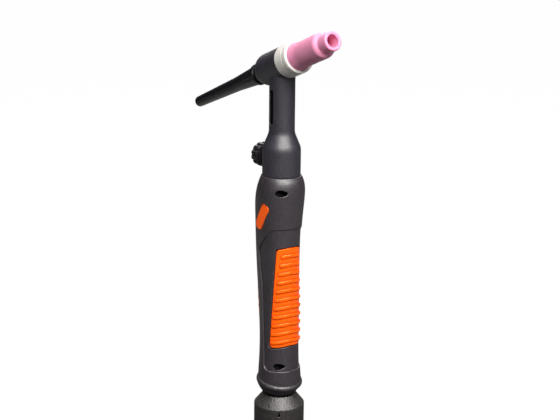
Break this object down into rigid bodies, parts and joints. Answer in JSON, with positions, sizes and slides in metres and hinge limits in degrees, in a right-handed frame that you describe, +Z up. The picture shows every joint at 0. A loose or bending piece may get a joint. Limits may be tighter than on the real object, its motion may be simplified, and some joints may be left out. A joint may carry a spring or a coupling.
{
  "type": "tig torch",
  "caption": "Hand-held TIG welding torch with ceramic nozzle, long back cap, gas valve knob, ribbed two-shell handle and swivelling cable joint.",
  "frame": {"origin": "centre of the cable outlet, in the flat foot of the cable joint's housing", "axes": "+Z up the handle towards the head, +X to the front, where the nozzle points, and +Y to the left of someone who holds the torch"},
  "size_m": [0.1637, 0.0342, 0.2983],
  "materials": {
    "cover_rubber": "satin moulded black rubber",
    "brass": "turned brass",
    "copper": "turned copper",
    "steel": "plated steel",
    "seal_rubber": "smooth black seal rubber",
    "knob_plastic": "semi-gloss black plastic",
    "gasket_white": "waxy white moulded gasket",
    "ceramic_pink": "fired pink ceramic",
    "cap_plastic": "semi-gloss black plastic",
    "shell_plastic": "fine-textured black plastic",
    "grip_orange": "satin orange soft grip",
    "badge_orange": "satin orange plastic",
    "liner_white": "slippery white plastic",
    "joint_plastic": "fine-textured black plastic"
  },
  "bodies": {
    "torch": {"neck_cover": "cover_rubber", "head_core": "brass", "neck_tube": "copper", "valve_body": "brass", "valve_bushing": "brass", "tail_union": "brass", "collet_body": "copper", "collet": "copper", "cup_gasket": "gasket_white", "handle_shell_right": "shell_plastic", "handle_shell_left": "shell_plastic", "front_grip_right": "grip_orange", "front_grip_left": "grip_orange", "rear_grip_right": "grip_orange", "rear_grip_left": "grip_orange", "badge": "badge_orange", "shell_screws": "steel", "shell_inserts": "brass"},
    "nozzle": {"nozzle": "ceramic_pink"},
    "cap_seal": {"back_cap_o_ring": "seal_rubber"},
    "back_cap": {"back_cap": "cap_plastic"},
    "stem_seal": {"valve_stem_o_ring": "seal_rubber"},
    "valve_knob": {"valve_knob": "knob_plastic", "valve_stem": "steel", "knob_screw": "steel"},
    "joint_liner": {"swivel_liner": "liner_white"},
    "joint_ball": {"swivel_ball": "joint_plastic", "swivel_nut": "steel"},
    "joint_housing": {"joint_housing": "joint_plastic", "cable_collar": "joint_plastic"}
  },
  "joints": [
    {"name": "nozzle_release", "type": "slide", "parent": "torch", "child": "nozzle", "axis": [0.9311, 0, 0.3649], "range_m": [0, 0.0115]},
    {"name": "cap_travel", "type": "slide", "parent": "torch", "child": "cap_seal", "axis": [-0.9311, 0, -0.3649], "range_m": [0, 0.005]},
    {"name": "cap_turn", "type": "hinge", "parent": "cap_seal", "child": "back_cap", "pos_m": [0, 0, 0.27115], "axis": [-0.9311, 0, -0.3649], "range_deg": [0, 1804]},
    {"name": "valve_travel", "type": "slide", "parent": "torch", "child": "stem_seal", "axis": [-1, 0, 0], "range_m": [0, 0.0012]},
    {"name": "valve_turn", "type": "hinge", "parent": "stem_seal", "child": "valve_knob", "pos_m": [0, 0, 0.20755], "axis": [-1, 0, 0], "range_deg": [0, 544]},
    {"name": "joint_tilt_fore_aft", "type": "hinge", "parent": "torch", "child": "joint_liner", "pos_m": [0, 0, 0.05755], "axis": [0, 1, 0], "range_deg": [-10, 10]},
    {"name": "joint_tilt_sideways", "type": "hinge", "parent": "joint_liner", "child": "joint_ball", "pos_m": [0, 0, 0.05755], "axis": [1, 0, 0], "range_deg": [-10, 10]},
    {"name": "joint_spin", "type": "hinge", "parent": "joint_ball", "child": "joint_housing", "pos_m": [0, 0, 0.05755], "axis": [0, 0, 1], "range_deg": [-180, 180]}
  ],
  "couplings": [
    {"joint": "cap_turn", "follows": "cap_travel", "rad_per_m": 6283.2},
    {"joint": "valve_turn", "follows": "valve_travel", "rad_per_m": 7854}
  ]
}
